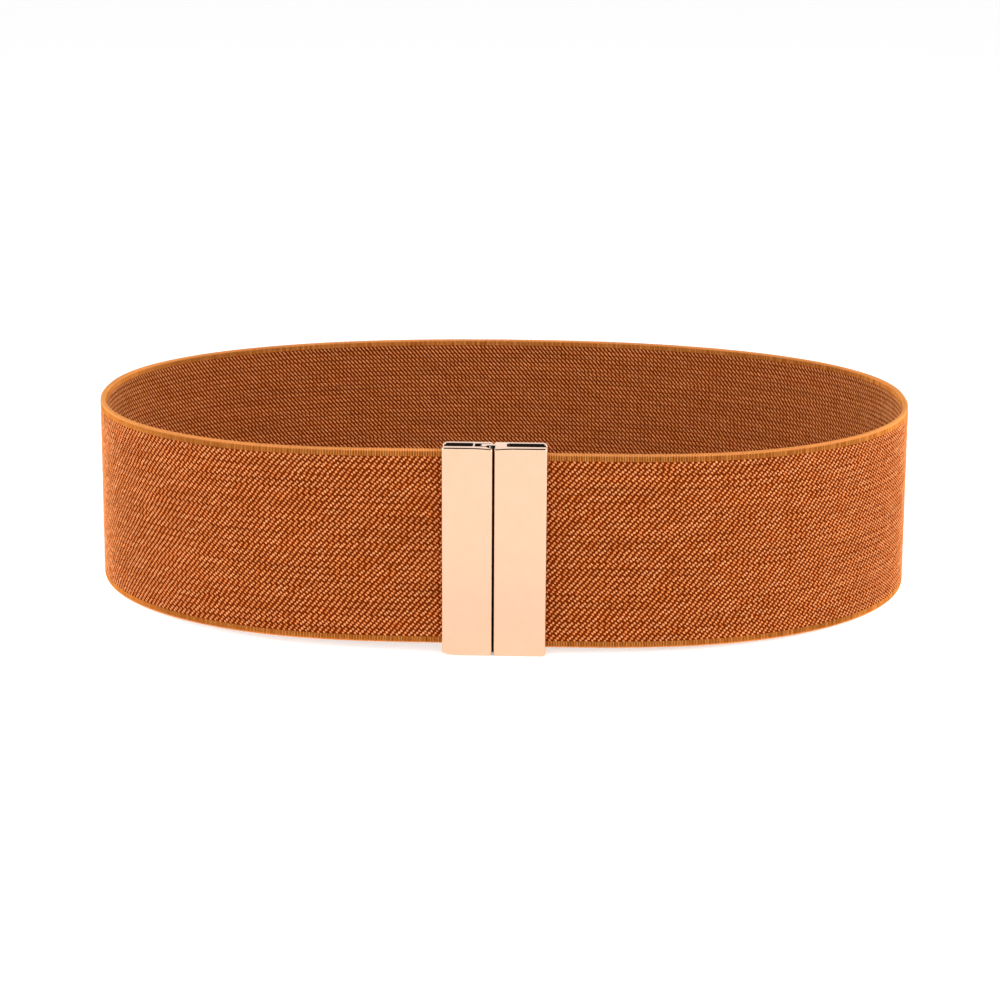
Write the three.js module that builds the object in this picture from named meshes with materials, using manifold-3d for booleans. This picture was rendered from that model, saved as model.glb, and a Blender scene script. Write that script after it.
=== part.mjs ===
// Elastic stretch belt: one woven band bent to an open loop and closed in front by a two-part hook clasp.
// Millimetres, +Z up. The clasp faces -Y, and the belt stands on its lower edge as it would by itself.
// The origin is the middle of the belt's footprint, on the surface that it stands on.

import * as THREE from "three";
import { mergeVertices } from "three/addons/utils/BufferGeometryUtils.js";
import Module from "manifold-3d";

// Loop, measured to the middle of the band's wall.
const LOOP_HALF_WIDTH = 170.5;
const LOOP_BACK_DEPTH = 121;
const LOOP_FRONT_DEPTH = 123.5;
const BACK_EXPONENT = 2.19; // superellipse exponent of the back half, 2 is an ellipse
const FRONT_EXPONENT = 2.2; // the same for each curved side of the front half
const STRAIGHT_BESIDE_CLASP = 3; // the band runs on straight this far outside the clasp
const STATION_STEP = 8; // along the band

// Band.
const BAND_WIDTH = 75; // from selvedge to selvedge
const BAND_THICK = 2;
const SELVEDGE_TALL = 2.4;
const SPREAD_AT_CLASP = 0.9; // the clasp holds the band this much wider than its run
const LIFT_LEFT = 2.75; // the clasp carries the band's lower edge this high, on its left
const LIFT_RIGHT = 1.6; // and on its right
const RISE_AT_CLASP = 1; // further rise of the lower edge close to the clasp
const RISE_REACH = 60; // along the band, over which the rise and the spread die out
const WALL_LEAN = 1.1; // the loop's lower edge lies this much further out than its upper one

// Clasp, measured back from the face of its front plates.
const CLASP_HEAD = 1.9; // the clasp stands this far above the band's highest corner
const GAP = 0.7; // between the two halves
const PLATE_THICK = 3;
const POCKET_DEPTH = 5.2;
const BACK_WALL = 2.2;
const CURL = 0.9; // the back wall's outer end, turned forward beside the band
const SLOT = 3.2; // opening between the plate and the curl, through which the band enters
const WEB = 1; // wall between the left half's pocket and its channel
const LEFT_POCKET = 10.5;
const RIGHT_POCKET = 14.2;
const BLOCK = 4.7; // solid block beside the gap that carries the hook
const HOOK_HEAD = 2.5;
const HOOK_NECK = 2.7;
const HOOK_SLOPE = 0.7; // the head's slanted shoulder, across
const SLIDE_FIT = 0.2; // behind the neck and in front of the head, so that the hook slides
const CHANNEL_SPARE = 1.5; // room beside the hook's head
const CHANNEL_BACK = 2.8; // wall behind the channel
const LIP = 0.9; // along the left plate's edge, in front of the neck
const LIP_CLEARANCE = 0.4;
const HOOK_ROOM = 1; // between the lip and the hook's head, where they are hooked loosely
const UNDERCUT = 1.4; // depth of the recess beside the lip
const EDGE_BREAK = 0.3; // polished edges at the clasp's top and bottom
const EDGE_EASE = 0.3; // the upright edges are rounder than the ends by this
const BACK_CORNER = 2;
const POCKET_CORNER = 0.8;
const BLOCK_CORNER = 1.4; // the right pocket's corner beside the block
const END_CORNER = 0.9;
const WORN_CORNER = 1.8; // the left plate's lower outer corner

// How the band sits in the clasp.
const BAND_SET_BACK = 3.8; // from the plates' face to the band's outer face
const HEM_CLEARANCE = 1; // between the folded end and the pocket's two side walls

// Section of the band's edges, from the edge inwards: up as a share of the selvedge's height,
// inset as a share of half the band's thickness.
const EDGE_ROWS = [
  { up: 0, inset: 0.55 },
  { up: 0.12, inset: 0.2 },
  { up: 0.35, inset: 0 },
  { up: 0.95, inset: 0 },
  { up: 1.1, inset: 0.12 },
];

// Section of the folded end, from its tip: along as a share of the fold's length,
// thick as a share of two layers.
const HEM_ROWS = [
  { along: 0, thick: 0.45 },
  { along: 0.06, thick: 0.8 },
  { along: 0.16, thick: 1 },
  { along: 0.92, thick: 1 },
];

// Worked out from the sizes above.
const uprightEdge = EDGE_BREAK + EDGE_EASE;
const claspDepth = PLATE_THICK + POCKET_DEPTH + BACK_WALL;
const hookReach = LIP + HOOK_ROOM + HOOK_HEAD + HOOK_SLOPE;
const leftHalfWidth = CURL + LEFT_POCKET + WEB + CHANNEL_SPARE + hookReach;
const rightHalfWidth = BLOCK + RIGHT_POCKET + CURL;
const leftSide = -GAP / 2 - leftHalfWidth;
const rightSide = GAP / 2 + rightHalfWidth;
const straightHalf = Math.max(-leftSide, rightSide) + STRAIGHT_BESIDE_CLASP;
const heldWidth = BAND_WIDTH + SPREAD_AT_CLASP;
const highestLift = Math.max(LIFT_LEFT, LIFT_RIGHT) + RISE_AT_CLASP;
const claspHeight = highestLift + heldWidth + CLASP_HEAD;
const channelBack = claspDepth - CHANNEL_BACK;
const neckBack = channelBack - SLIDE_FIT;
const neckFront = neckBack - HOOK_NECK;
const claspFace = -LOOP_FRONT_DEPTH - BAND_SET_BACK - BAND_THICK / 2;
const loopBack = LOOP_BACK_DEPTH + (BAND_THICK + WALL_LEAN) / 2;
const footprintMiddle = (claspFace + loopBack) / 2;

const MERGE_DISTANCE = 1e-4;
const wasm = await Module();
wasm.setup();

/** A closed three.js geometry as a solid that can be joined and cut. */
function toSolid(geometry) {
  const bare = geometry.clone();
  bare.deleteAttribute("normal");
  bare.deleteAttribute("uv");
  const merged = mergeVertices(bare, MERGE_DISTANCE);
  return new wasm.Manifold(
    new wasm.Mesh({
      numProp: 3,
      vertProperties: new Float32Array(merged.attributes.position.array),
      triVerts: new Uint32Array(merged.index.array),
    }),
  );
}

/** A solid as a three.js geometry. */
function toGeometry(solid) {
  const mesh = solid.getMesh();
  const geometry = new THREE.BufferGeometry();
  geometry.setAttribute("position", new THREE.Float32BufferAttribute(mesh.vertProperties, 3));
  geometry.setIndex([...mesh.triVerts]);
  geometry.computeVertexNormals();
  return geometry;
}

/** A closed outline through corners of x, y and an optional round. */
function outline(corners) {
  const path = new THREE.Shape();
  corners.forEach((corner, i) => {
    const here = new THREE.Vector2(corner.x, corner.y);
    const before = corners[(i + corners.length - 1) % corners.length];
    const after = corners[(i + 1) % corners.length];
    const round = corner.round ?? 0;
    const start = new THREE.Vector2(before.x, before.y).sub(here).setLength(round).add(here);
    const end = new THREE.Vector2(after.x, after.y).sub(here).setLength(round).add(here);
    if (i === 0) path.moveTo(start.x, start.y);
    else path.lineTo(start.x, start.y);
    if (round > 0) path.quadraticCurveTo(here.x, here.y, end.x, end.y);
  });
  path.closePath();
  return path;
}

/** The middle line of the band outside the clasp, clockwise from front left to front right. */
class LoopLine extends THREE.Curve {
  getPoint(t, target = new THREE.Vector3()) {
    const turn = Math.PI * (1.5 - 2 * t);
    const across = Math.abs(Math.cos(turn));
    const deep = Math.abs(Math.sin(turn));
    const side = t < 0.5 ? -1 : 1;
    if (t > 0.25 && t < 0.75) {
      const power = 2 / BACK_EXPONENT;
      return target.set(side * LOOP_HALF_WIDTH * across ** power, LOOP_BACK_DEPTH * deep ** power, 0);
    }
    const power = 2 / FRONT_EXPONENT;
    const curved = LOOP_HALF_WIDTH - straightHalf;
    return target.set(side * (straightHalf + curved * across ** power), -LOOP_FRONT_DEPTH * deep ** power, 0);
  }
}

/** Stations of one folded end, from its tip outwards to the single band, at one side of the clasp. */
function hemStations(tip, root) {
  const y = -LOOP_FRONT_DEPTH;
  const folded = HEM_ROWS.map(({ along, thick }) => ({
    x: tip + (root - tip) * along,
    y,
    outer: -BAND_THICK / 2 + BAND_THICK * thick,
    inner: -BAND_THICK / 2 - BAND_THICK * thick,
  }));
  return [...folded, { x: root, y, outer: BAND_THICK / 2, inner: -BAND_THICK / 2 }];
}

/** Stations along the whole band, with how far each face lies out from the middle line. */
function bandStations() {
  const line = new LoopLine();
  line.arcLengthDivisions = 2000;
  const run = line.getSpacedPoints(Math.round(line.getLength() / STATION_STEP));
  const single = run.map(({ x, y }) => ({ x, y, outer: BAND_THICK / 2, inner: -BAND_THICK / 2 }));
  const leftPocket = leftSide + CURL;
  const rightPocket = rightSide - CURL;
  const left = hemStations(leftPocket + LEFT_POCKET - HEM_CLEARANCE, leftPocket + HEM_CLEARANCE);
  const right = hemStations(rightPocket - RIGHT_POCKET + HEM_CLEARANCE, rightPocket - HEM_CLEARANCE);
  return [...left, ...single, ...right.reverse()];
}

/** How near a point of the band is to the clasp: 1 beside it, 0 far away. */
function nearClasp({ x, y }) {
  if (y > 0) return 0;
  const away = Math.max(Math.abs(x) - straightHalf, 0) / RISE_REACH;
  return Math.exp(-away * away);
}

/** Height of the band's lower and upper edge at a station. */
function edgeHeights(station) {
  const share = (LOOP_BACK_DEPTH - station.y) / (LOOP_BACK_DEPTH + LOOP_FRONT_DEPTH);
  const lift = (station.x < 0 ? LIFT_LEFT : LIFT_RIGHT) * share;
  const near = nearClasp(station);
  const lower = lift + RISE_AT_CLASP * near;
  return { lower, upper: lower + BAND_WIDTH + SPREAD_AT_CLASP * near };
}

/** The outward direction at each station. */
function outwards(stations) {
  const beside = (i) => Math.min(Math.max(i, 0), stations.length - 1);
  return stations.map((_, i) => {
    const from = stations[beside(i - 1)];
    const to = stations[beside(i + 1)];
    return new THREE.Vector2(from.y - to.y, to.x - from.x).normalize();
  });
}

/** The band's wall: a rounded section with a selvedge along each edge, swept along the stations. */
function bandGeometry() {
  const stations = bandStations();
  const normals = outwards(stations);
  const lowerRows = EDGE_ROWS.map((row) => ({ ...row, fromTop: false }));
  const upperRows = EDGE_ROWS.map((row) => ({ ...row, fromTop: true })).reverse();
  const rows = [...lowerRows, ...upperRows];
  const positions = [];
  stations.forEach((station, i) => {
    const { lower, upper } = edgeHeights(station);
    const lean = WALL_LEAN * (1 - nearClasp(station));
    const place = (row, face) => {
      const up = row.up * SELVEDGE_TALL;
      const z = row.fromTop ? upper - up : lower + up;
      const inset = (row.inset * BAND_THICK) / 2;
      const out = station[face] + (face === "outer" ? -inset : inset);
      const shift = out + lean * (0.5 - (z - lower) / (upper - lower));
      positions.push(station.x + normals[i].x * shift, station.y + normals[i].y * shift, z);
    };
    rows.forEach((row) => place(row, "outer"));
    [...rows].reverse().forEach((row) => place(row, "inner"));
  });
  const ring = 2 * rows.length;
  const quad = (a, b, c, d) => [a, b, c, a, c, d];
  const index = [];
  for (let i = 0; i < stations.length - 1; i++) {
    for (let k = 0; k < ring; k++) {
      const next = (k + 1) % ring;
      index.push(...quad(i * ring + k, i * ring + next, (i + 1) * ring + next, (i + 1) * ring + k));
    }
  }
  const last = (stations.length - 1) * ring;
  for (let k = 0; k < rows.length - 1; k++) {
    const across = ring - 1 - k;
    index.push(...quad(across, across - 1, k + 1, k));
    index.push(...quad(last + k, last + k + 1, last + across - 1, last + across));
  }
  const geometry = new THREE.BufferGeometry();
  geometry.setAttribute("position", new THREE.Float32BufferAttribute(positions, 3));
  geometry.setIndex(index);
  geometry.computeVertexNormals();
  return geometry;
}

/** A clasp profile, drawn in X and depth behind the plates' face, raised to the clasp's height. */
function raiseProfile(corners) {
  const geometry = new THREE.ExtrudeGeometry(outline(corners), {
    depth: claspHeight - 2 * EDGE_BREAK,
    curveSegments: 3,
    bevelThickness: EDGE_BREAK,
    bevelSize: EDGE_BREAK,
    bevelOffset: -EDGE_BREAK,
    bevelSegments: 1,
  });
  return toSolid(geometry.translate(0, 0, EDGE_BREAK));
}

/**
 * The plate, slot, curl and pocket of a half, from the plate's outer front edge to the curl's back corner.
 * side is the half's outer side, inner is the pocket's inner wall.
 */
function pocketCorners(side, inner, innerCorner) {
  const curl = side + Math.sign(inner - side) * CURL;
  const back = PLATE_THICK + POCKET_DEPTH;
  return [
    { x: side, y: 0, round: uprightEdge },
    { x: side, y: PLATE_THICK },
    { x: inner, y: PLATE_THICK, round: POCKET_CORNER },
    { x: inner, y: back, round: innerCorner },
    { x: curl, y: back, round: POCKET_CORNER },
    { x: curl, y: PLATE_THICK + SLOT },
    { x: side, y: PLATE_THICK + SLOT },
    { x: side, y: claspDepth, round: BACK_CORNER },
  ];
}

/** The clasp's outline from the front with its rounded corners, as a prism through its depth. */
function frontPrism(from, to, lowerLeft, lowerRight) {
  const corners = [
    { x: from, y: 0, round: lowerLeft },
    { x: to, y: 0, round: lowerRight },
    { x: to, y: claspHeight, round: END_CORNER },
    { x: from, y: claspHeight, round: END_CORNER },
  ];
  const geometry = new THREE.ExtrudeGeometry(outline(corners), {
    depth: 3 * claspDepth,
    curveSegments: 3,
    bevelEnabled: false,
  });
  return toSolid(geometry.rotateX(Math.PI / 2).translate(0, 2 * claspDepth, 0));
}

/** The left half: plate, pocket, web, and a channel that is closed behind and has a lip along the plate's edge. */
function claspLeftGeometry() {
  const plateEnd = -GAP / 2;
  const pocketInner = leftSide + CURL + LEFT_POCKET;
  const channelStart = pocketInner + WEB;
  const lipInner = plateEnd - LIP;
  const corners = [
    { x: channelStart, y: channelBack },
    { x: channelStart, y: PLATE_THICK },
    { x: lipInner - HOOK_ROOM - HOOK_SLOPE, y: PLATE_THICK },
    { x: lipInner, y: PLATE_THICK - UNDERCUT },
    { x: lipInner, y: neckFront - LIP_CLEARANCE },
    { x: plateEnd, y: neckFront - LIP_CLEARANCE },
    { x: plateEnd, y: 0, round: uprightEdge },
    ...pocketCorners(leftSide, pocketInner, POCKET_CORNER),
    { x: plateEnd, y: claspDepth, round: uprightEdge },
    { x: plateEnd, y: channelBack },
  ];
  const rounded = frontPrism(leftSide, plateEnd, WORN_CORNER, END_CORNER);
  return toGeometry(raiseProfile(corners).intersect(rounded));
}

/** The right half: plate, pocket, block, and the hook that reaches into the left half's channel. */
function claspRightGeometry() {
  const plateStart = GAP / 2;
  const shoulder = -GAP / 2 - LIP - HOOK_ROOM;
  const headFace = shoulder - HOOK_SLOPE;
  const hookTip = headFace - HOOK_HEAD;
  const headFront = PLATE_THICK + SLIDE_FIT;
  const corners = [
    { x: plateStart, y: claspDepth, round: uprightEdge },
    { x: plateStart, y: neckBack },
    { x: hookTip, y: neckBack, round: uprightEdge },
    { x: hookTip, y: headFront, round: uprightEdge },
    { x: headFace, y: headFront },
    { x: shoulder, y: neckFront },
    { x: plateStart, y: neckFront },
    { x: plateStart, y: 0, round: uprightEdge },
    ...pocketCorners(rightSide, plateStart + BLOCK, BLOCK_CORNER),
  ];
  const rounded = frontPrism(hookTip, rightSide, END_CORNER, END_CORNER);
  return toGeometry(raiseProfile(corners).intersect(rounded));
}

/** A named sub-part of the belt. */
function subPart(name, geometry, material, y = 0) {
  const mesh = new THREE.Mesh(geometry, material);
  mesh.name = name;
  mesh.position.y = y;
  return mesh;
}

/** The whole belt, centred on its footprint. */
function buildBelt() {
  const elastic = new THREE.MeshStandardMaterial({ color: 0xb8602a, roughness: 0.85, metalness: 0 });
  const plated = new THREE.MeshStandardMaterial({ color: 0xf3c9a4, roughness: 0.2, metalness: 1 });
  const belt = new THREE.Group();
  belt.add(
    subPart("band", bandGeometry(), elastic),
    subPart("clasp_left", claspLeftGeometry(), plated, claspFace),
    subPart("clasp_right", claspRightGeometry(), plated, claspFace),
  );
  belt.position.y = -footprintMiddle;
  return belt;
}

export default buildBelt();
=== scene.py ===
"""Elastic stretch belt with a two-part hook clasp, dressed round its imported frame.

The band is one woven strip of covered rubber and polyester yarn: a ground wall, a rib of yarn floats on
each face and a thread wound selvedge along each edge. Two plated clasp halves hold its folded ends in open
pockets.
"""

import logging
import math
from dataclasses import dataclass, field
from enum import Enum
from functools import partial

import bmesh
import bpy
from mathutils import Matrix, Vector
from mathutils.geometry import delaunay_2d_cdt


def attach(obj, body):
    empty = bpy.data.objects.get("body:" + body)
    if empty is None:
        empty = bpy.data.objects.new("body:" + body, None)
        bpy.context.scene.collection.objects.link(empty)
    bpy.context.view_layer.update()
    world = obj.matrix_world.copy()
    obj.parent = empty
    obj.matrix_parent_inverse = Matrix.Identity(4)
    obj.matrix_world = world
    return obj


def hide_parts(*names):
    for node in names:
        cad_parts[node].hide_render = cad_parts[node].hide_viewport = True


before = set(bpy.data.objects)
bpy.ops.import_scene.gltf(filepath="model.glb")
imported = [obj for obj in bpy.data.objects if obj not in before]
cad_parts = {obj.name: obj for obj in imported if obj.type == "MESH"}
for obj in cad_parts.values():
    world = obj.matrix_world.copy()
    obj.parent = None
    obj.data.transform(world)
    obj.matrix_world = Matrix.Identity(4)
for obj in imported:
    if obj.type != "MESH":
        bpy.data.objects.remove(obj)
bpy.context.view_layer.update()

MM = 0.001
BODY = "root"
MATH = "ShaderNodeMath"
VECTOR_MATH = "ShaderNodeVectorMath"
log = logging.getLogger("belt")


# Shared helpers


def srgb(code: str) -> tuple[float, float, float, float]:
    """Turns an sRGB hex colour into the linear colour that Blender works in.

    Args:
        code: Six hex digits after a hash sign.

    Returns:
        Linear red, green and blue, and an alpha of one.
    """
    parts = [int(code[i:i + 2], 16) / 255 for i in (1, 3, 5)]
    linear = [p / 12.92 if p <= 0.04045 else ((p + 0.055) / 1.055) ** 2.4 for p in parts]
    return (linear[0], linear[1], linear[2], 1.0)


def add_node(tree: bpy.types.NodeTree, kind: str, settings: dict | None = None,
             feeds: dict | None = None) -> bpy.types.Node:
    """Adds one node to a tree, with its settings and with its inputs linked or set.

    Args:
        tree: The shader or geometry tree.
        kind: Blender's name for the node.
        settings: Property values by name.
        feeds: Input values by socket name or number: a node's first output, a socket or a plain value.

    Returns:
        The new node.
    """
    made = tree.nodes.new(kind)
    for name, value in (settings or {}).items():
        setattr(made, name, value)
    for key, value in (feeds or {}).items():
        if isinstance(value, bpy.types.Node):
            value = value.outputs[0]
        if isinstance(value, bpy.types.NodeSocket):
            tree.links.new(value, made.inputs[key])
        else:
            made.inputs[key].default_value = value
    return made


def start_material(name: str, values: dict) -> tuple[bpy.types.Material, bpy.types.NodeTree, bpy.types.Node]:
    """Starts a material, with what is the same all over it set on the shader's own sockets.

    Args:
        name: Name of the material.
        values: Value of each such socket, by its name.

    Returns:
        The material, its tree and its shader.
    """
    material = bpy.data.materials.new(name)
    material.use_nodes = True
    shader = material.node_tree.nodes["Principled BSDF"]
    for socket, value in values.items():
        shader.inputs[socket].default_value = value
    return material, material.node_tree, shader


def start_tree(name: str, inputs: dict[str, str]) -> tuple[bpy.types.NodeTree, bpy.types.Node]:
    """Starts a geometry tree with named inputs.

    Args:
        name: Name of the tree.
        inputs: Kind of each input's socket, by its name.

    Returns:
        The tree and its input node.
    """
    tree = bpy.data.node_groups.new(name, "GeometryNodeTree")
    tree.interface.new_socket("Geometry", in_out="INPUT", socket_type="NodeSocketGeometry")
    for label, kind in inputs.items():
        tree.interface.new_socket(label, in_out="INPUT", socket_type=f"NodeSocket{kind}")
    tree.interface.new_socket("Geometry", in_out="OUTPUT", socket_type="NodeSocketGeometry")
    return tree, add_node(tree, "NodeGroupInput")


def grow(name: str, tree: bpy.types.NodeTree, start: bpy.types.Mesh, values: dict) -> bpy.types.Object:
    """Runs a geometry tree once on a mesh and keeps the result as a plain mesh.

    Args:
        name: Name of the piece.
        tree: The geometry tree.
        start: The mesh that the tree starts from.
        values: Values of the tree's named inputs.

    Returns:
        The piece, with no modifier left on it.
    """
    piece = bpy.data.objects.new(name, start)
    bpy.context.scene.collection.objects.link(piece)
    modifier = piece.modifiers.new(name, "NODES")
    modifier.node_group = tree
    for item in tree.interface.items_tree:
        if item.in_out == "INPUT" and item.name in values:
            modifier[item.identifier] = values[item.name]
    graph = bpy.context.evaluated_depsgraph_get()
    mesh = bpy.data.meshes.new_from_object(piece.evaluated_get(graph), depsgraph=graph)
    piece.modifiers.clear()
    piece.data = mesh
    mesh.name = name
    return piece


def dress(piece: bpy.types.Object, replaces: str | None = None) -> bpy.types.Object:
    """Makes a finished piece ride with the belt, hides the CAD node that it stands for and logs its
    triangles.

    Args:
        piece: The finished piece.
        replaces: The CAD node that the piece stands for, if any.

    Returns:
        The same piece.
    """
    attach(piece, BODY)
    if replaces:
        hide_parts(replaces)
    piece.data.calc_loop_triangles()
    log.info("%s: %d triangles", piece.name, len(piece.data.loop_triangles))
    return piece


# Finishes


@dataclass(frozen=True)
class SpunYarn:
    """Spun polyester yarn as woven: dull and slightly hairy, with light and shade painted into its colour by
    depth from the middle of the wall.
    """

    name: str
    # Crown colours: a painted highlight on the ribs' grains; on the selvedge, the threads' colour on the
    # faces.
    painted_crown: str
    crown_warm: str
    # Valley colour: painted shade down between the ribs' grains; on the selvedge, a painted highlight along
    # the rolled edges.
    painted_valley: str
    low: float  # metres from the middle of the wall, where the painted valley colour ends
    high: float  # and where the painted crown colour is reached
    fuzz: float = 0.02  # sheen of the loose fibres
    groove_shade: str = ""  # painted shade between wound threads, where there are such
    groove_pitch: float = 0.5 * MM
    groove_start: float = 0.0
    groove_within: float = 0.0  # how far from the middle of the width the grooves show
    groove_fade: float = 0.7 * MM  # width over which they fade out there
    groove_core: float = 0.08  # share of the pitch beside a groove's middle that is fully dark
    groove_flank: float = 0.34  # and where its dark flank ends
    dye_waves: tuple[float, float, float] = (22.0, 1.0, 330.0)  # uneven dye, in waves for each metre of cloth
    dye_range: float = 0.1  # how much lighter or darker it makes the yarn
    fibre: float = 0.09 * MM  # bundle of fibres, drawn coarser than the real 0.02 mm so that it shows
    fibre_turn: float = 42.0  # degrees, along the floats

    def build(self) -> bpy.types.Material:
        """Builds the material."""
        material, tree, shader = start_material(self.name, {
            "Roughness": 0.85, "Specular IOR Level": 0.02, "Sheen Weight": self.fuzz, "Sheen Roughness": 0.5,
            "Sheen Tint": srgb("#ff9858")})
        node = partial(add_node, tree)
        cloth = node("ShaderNodeAttribute", {"attribute_name": "cloth"})
        shade = node("ShaderNodeAttribute", {"attribute_name": "shade"})
        parts = node("ShaderNodeSeparateXYZ", {}, {0: cloth.outputs["Vector"]})
        depth = node(MATH, {"operation": "ABSOLUTE"}, {0: parts.outputs["Y"]})
        # Painted light by depth from the middle of the wall: the crown colour high up, the valley colour low
        # down.
        painted_crown = node("ShaderNodeMapRange", {"interpolation_type": "SMOOTHSTEP"},
                     {"Value": depth, "From Min": self.low, "From Max": self.high})
        tone = node("ShaderNodeMix", {"data_type": "RGBA"},
                    {0: shade.outputs["Fac"], 6: srgb(self.painted_crown), 7: srgb(self.crown_warm)})
        colour = node("ShaderNodeMix", {"data_type": "RGBA"},
                      {0: painted_crown, 6: srgb(self.painted_valley), 7: tone.outputs[2]})
        # Painted shade in the grooves between wound threads. It is kept off the rolled edges, where the
        # valley colour comes back as a painted highlight.
        if self.groove_shade:
            turns = node(MATH, {"operation": "MULTIPLY_ADD"},
                         {0: parts.outputs["X"], 1: 1 / self.groove_pitch,
                          2: -self.groove_start / self.groove_pitch})
            aside = node(MATH, {"operation": "PINGPONG"}, {0: turns, 1: 0.5})
            dark = node("ShaderNodeMapRange", {"interpolation_type": "SMOOTHSTEP"},
                        {"Value": aside, "From Min": self.groove_core, "From Max": self.groove_flank,
                         "To Min": 1.0, "To Max": 0.0})
            height = node(MATH, {"operation": "SUBTRACT"},
                          {0: parts.outputs["Z"], 1: BeltLine.width / 2 * MM})
            off_middle = node(MATH, {"operation": "ABSOLUTE"}, {0: height})
            under = node("ShaderNodeMapRange", {"interpolation_type": "SMOOTHSTEP"},
                         {"Value": off_middle, "From Min": self.groove_within - self.groove_fade,
                          "From Max": self.groove_within, "To Min": 1.0, "To Max": 0.0})
            edge_highlight = node("ShaderNodeMix", {"data_type": "RGBA"},
                          {0: under, 6: srgb(self.painted_valley), 7: colour.outputs[2]})
            groove_shade_mask = node(MATH, {"operation": "MULTIPLY"}, {0: dark, 1: under})
            colour = node("ShaderNodeMix", {"data_type": "RGBA"},
                          {0: groove_shade_mask, 6: edge_highlight.outputs[2], 7: srgb(self.groove_shade)})
        drift = node("ShaderNodeMapping", {"vector_type": "POINT"},
                     {"Vector": cloth.outputs["Vector"], "Scale": self.dye_waves})
        streak = node("ShaderNodeTexNoise", {}, {"Vector": drift, "Scale": 1.0, "Detail": 2.0})
        amount = node("ShaderNodeMapRange", {},
                      {"Value": streak, "From Min": 0.3, "From Max": 0.7, "To Min": 1 - self.dye_range,
                       "To Max": 1 + self.dye_range})
        final = node("ShaderNodeHueSaturation", {}, {"Color": colour.outputs[2], "Value": amount})
        tree.links.new(final.outputs[0], shader.inputs["Base Color"])
        strands = node("ShaderNodeMapping", {},
                       {"Vector": cloth.outputs["Vector"],
                        "Rotation": (0.0, math.radians(self.fibre_turn), 0.0),
                        "Scale": (1 / self.fibre, 1 / self.fibre, 0.2 / self.fibre)})
        fuzz = node("ShaderNodeTexNoise", {}, {"Vector": strands, "Scale": 1.0, "Detail": 2.0})
        bump = node("ShaderNodeBump", {}, {"Strength": 0.35, "Distance": self.fibre, "Height": fuzz})
        tree.links.new(bump.outputs[0], shader.inputs["Normal"])
        return material


@dataclass(frozen=True)
class RoseGoldPlate:
    """Polished die-cast zinc alloy with a pale rose gold plating: mirror bright with a faint milky haze."""

    name: str = "rose_gold_plate"
    colour: str = "#e8bfa3"
    tarnish: str = "#e4ba9a"
    roughness: float = 0.16
    milkier: float = 0.05  # what the haze adds to the roughness at most
    clearer: float = 0.04  # and what it takes off
    haze: float = 6 * MM  # size of the patches in which the polish differs
    polish_width: float = 0.15 * MM  # lines of the polishing wheel, coarser than real so that they show
    polish_waves: float = 60.0  # how often they change, for each metre of height

    def build(self) -> bpy.types.Material:
        """Builds the material."""
        material, tree, shader = start_material(self.name, {"Metallic": 1.0})
        node = partial(add_node, tree)
        where = node("ShaderNodeTexCoord")
        patches = node("ShaderNodeTexNoise", {},
                       {"Vector": where.outputs["Object"], "Scale": 1 / self.haze, "Detail": 3.0})
        colour = node("ShaderNodeMix", {"data_type": "RGBA"},
                      {0: patches, 6: srgb(self.colour), 7: srgb(self.tarnish)})
        tree.links.new(colour.outputs[2], shader.inputs["Base Color"])
        rough = node("ShaderNodeMapRange", {},
                     {"Value": patches, "To Min": self.roughness - self.clearer,
                      "To Max": self.roughness + self.milkier})
        tree.links.new(rough.outputs[0], shader.inputs["Roughness"])
        polish = node("ShaderNodeMapping", {},
                      {"Vector": where.outputs["Object"],
                       "Scale": (1 / self.polish_width, 1 / self.polish_width, self.polish_waves)})
        lines = node("ShaderNodeTexNoise", {}, {"Vector": polish, "Scale": 1.0, "Detail": 1.0})
        bump = node("ShaderNodeBump", {}, {"Strength": 0.02, "Distance": 0.02 * MM, "Height": lines})
        tree.links.new(bump.outputs[0], shader.inputs["Normal"])
        return material


@dataclass(frozen=True)
class PaintedShadeAlloy:
    """Zinc alloy, dull and near black brown: painted shade in the channel, the slot and the pockets, and a
    painted dark reflection along the polished top edges.
    """

    name: str = "bare_zinc_alloy"
    # Two near black colours that paint shade and reflection, mottled between the two.
    colour: str = "#120a06"
    worn: str = "#2a1a12"
    grain: float = 0.8 * MM  # size of the mottling in the painted shade

    def build(self) -> bpy.types.Material:
        """Builds the material."""
        material, tree, shader = start_material(self.name, {"Metallic": 0.6, "Roughness": 0.6})
        node = partial(add_node, tree)
        where = node("ShaderNodeTexCoord")
        mottle = node("ShaderNodeTexNoise", {},
                      {"Vector": where.outputs["Object"], "Scale": 1 / self.grain, "Detail": 3.0})
        colour = node("ShaderNodeMix", {"data_type": "RGBA"},
                      {0: mottle, 6: srgb(self.colour), 7: srgb(self.worn)})
        tree.links.new(colour.outputs[2], shader.inputs["Base Color"])
        bump = node("ShaderNodeBump", {}, {"Strength": 0.3, "Distance": 0.05 * MM, "Height": mottle})
        tree.links.new(bump.outputs[0], shader.inputs["Normal"])
        return material


@dataclass(frozen=True)
class LitAcrylic:
    """White acrylic table lit from below: matt and even, so that the belt's shadow all but goes."""

    name: str = "lit_acrylic"
    colour: str = "#f4f4f4"
    glow: float = 0.42

    def build(self) -> bpy.types.Material:
        """Builds the material."""
        return start_material(self.name, {
            "Base Color": srgb(self.colour), "Roughness": 0.9, "Specular IOR Level": 0.1,
            "Emission Color": srgb("#ffffff"), "Emission Strength": self.glow})[0]


# Sizes that the band and the clasp share


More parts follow.
